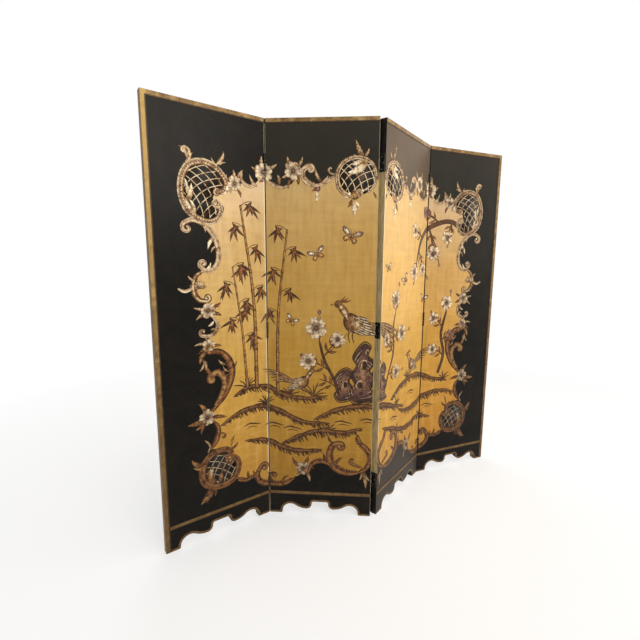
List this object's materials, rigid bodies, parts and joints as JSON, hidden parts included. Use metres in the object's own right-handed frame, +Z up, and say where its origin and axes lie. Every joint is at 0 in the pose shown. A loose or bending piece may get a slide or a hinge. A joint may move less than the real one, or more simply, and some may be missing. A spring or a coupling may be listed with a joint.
{
  "type": "folding screen",
  "caption": "Folding screen of butt-hinged lacquered panels with gilt borders and a scalloped lower edge.",
  "frame": {"origin": "middle of the footprint at rest, on the floor", "axes": "+Z up; the decorated front faces -Y; +X towards the last panel, along the folded row"},
  "size_m": [2.194, 0.3288, 2.134],
  "materials": {
    "lacquer_front": "black lacquer with a gold-leaf field and ornament in low relief",
    "lacquer_back": "plain black lacquer, satin",
    "frame_edge": "black-painted edge, worn",
    "frame_wood": "bare softwood",
    "gilt": "gold leaf over gesso, burnished and rubbed",
    "hinge_black": "black paint, satin",
    "pin_steel": "dulled steel, for the pins and for the heads of the screws"
  },
  "bodies": {
    "panel_1": {"front_board_1": "lacquer_front", "back_board_1": "lacquer_back", "left_stile_1": "frame_edge", "right_stile_1": "frame_edge", "top_rail_1": "frame_edge", "cross_rails_1": "frame_wood", "apron_rail_1": "frame_edge", "gilt_border_1": "gilt", "gilt_band_1": "gilt", "hinge_leaves_12_three_knuckles": "hinge_black", "hinge_pins_12": "pin_steel"},
    "panel_2": {"front_board_2": "lacquer_front", "back_board_2": "lacquer_back", "left_stile_2": "frame_edge", "right_stile_2": "frame_edge", "top_rail_2": "frame_edge", "cross_rails_2": "frame_wood", "apron_rail_2": "frame_edge", "gilt_border_2": "gilt", "gilt_band_2": "gilt", "hinge_leaves_12_two_knuckles": "hinge_black", "hinge_leaves_23_two_knuckles": "hinge_black"},
    "panel_3": {"front_board_3": "lacquer_front", "back_board_3": "lacquer_back", "left_stile_3": "frame_edge", "right_stile_3": "frame_edge", "top_rail_3": "frame_edge", "cross_rails_3": "frame_wood", "apron_rail_3": "frame_edge", "gilt_border_3": "gilt", "gilt_band_3": "gilt", "hinge_leaves_23_three_knuckles": "hinge_black", "hinge_pins_23": "pin_steel", "hinge_leaves_34_three_knuckles": "hinge_black", "hinge_pins_34": "pin_steel"},
    "panel_4": {"front_board_4": "lacquer_front", "back_board_4": "lacquer_back", "left_stile_4": "frame_edge", "right_stile_4": "frame_edge", "top_rail_4": "frame_edge", "cross_rails_4": "frame_wood", "apron_rail_4": "frame_edge", "gilt_border_4": "gilt", "gilt_band_4": "gilt", "hinge_leaves_34_two_knuckles": "hinge_black"}
  },
  "joints": [
    {"name": "fold_12", "type": "hinge", "parent": "panel_2", "child": "panel_1", "pos_m": [-0.5255, 0.12512, 1], "axis": [0, 0, 1], "range_deg": [-39.3, 140.7]},
    {"name": "fold_23", "type": "hinge", "parent": "panel_2", "child": "panel_3", "pos_m": [-0.00982, -0.12757, 1], "axis": [0, 0, 1], "range_deg": [-56.8, 123.2]},
    {"name": "fold_34", "type": "hinge", "parent": "panel_3", "child": "panel_4", "pos_m": [0.52372, 0.08482, 1], "axis": [0, 0, 1], "range_deg": [-148.5, 31.5]}
  ]
}
